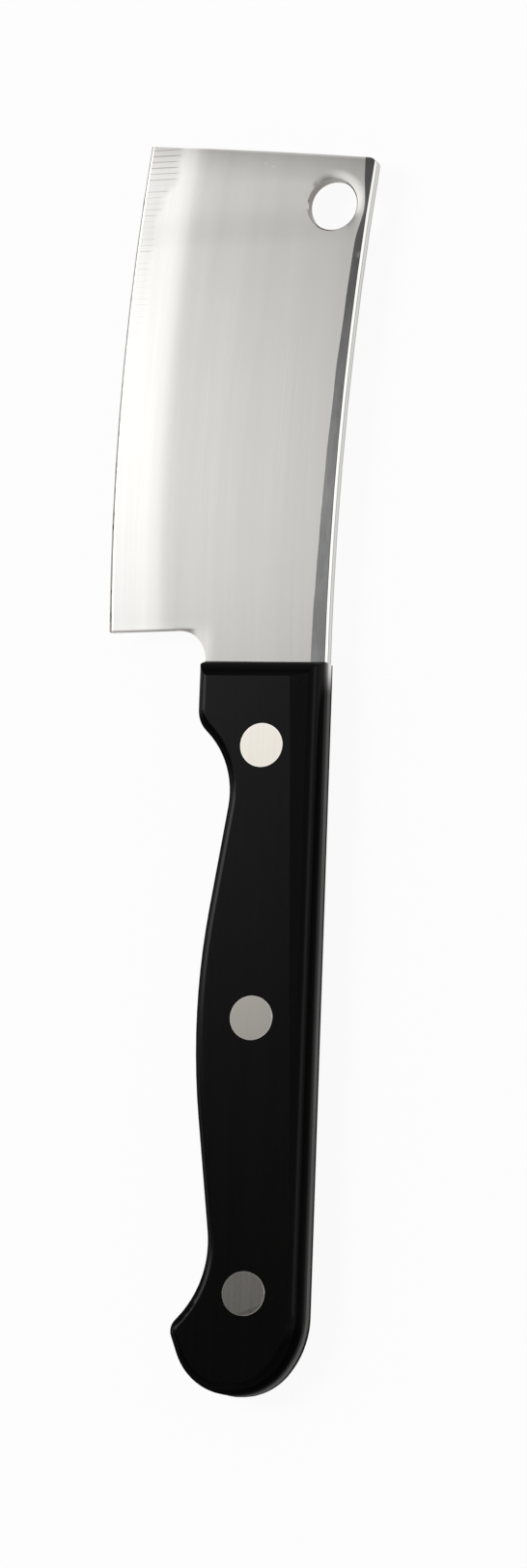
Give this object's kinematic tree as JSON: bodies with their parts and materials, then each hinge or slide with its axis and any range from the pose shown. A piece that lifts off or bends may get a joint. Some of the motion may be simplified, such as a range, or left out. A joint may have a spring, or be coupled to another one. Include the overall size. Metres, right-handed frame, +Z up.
{
  "type": "small meat cleaver",
  "caption": "Small full-tang cleaver with a curved steel blade, a hanging hole near the tip, black riveted handle scales and a hooked butt.",
  "frame": {"origin": "on the middle rivet's axis, in the plane of the lower handle scale's flat outer face, which the part rests on", "axes": "+Z up through the thickness, +Y along the handle towards the blade's tip, +X towards the spine"},
  "size_m": [0.042, 0.1973, 0.0089],
  "materials": {
    "blade_steel": "lengthwise satin polish",
    "handle_plastic": "polished black plastic",
    "rivet_steel": "ground flush and polished"
  },
  "bodies": {
    "root": {"blade": "blade_steel", "handle_scale_upper": "handle_plastic", "handle_scale_lower": "handle_plastic", "rivet_male_front": "rivet_steel", "rivet_male_middle": "rivet_steel", "rivet_male_rear": "rivet_steel", "rivet_female_front": "rivet_steel", "rivet_female_middle": "rivet_steel", "rivet_female_rear": "rivet_steel"}
  },
  "joints": []
}
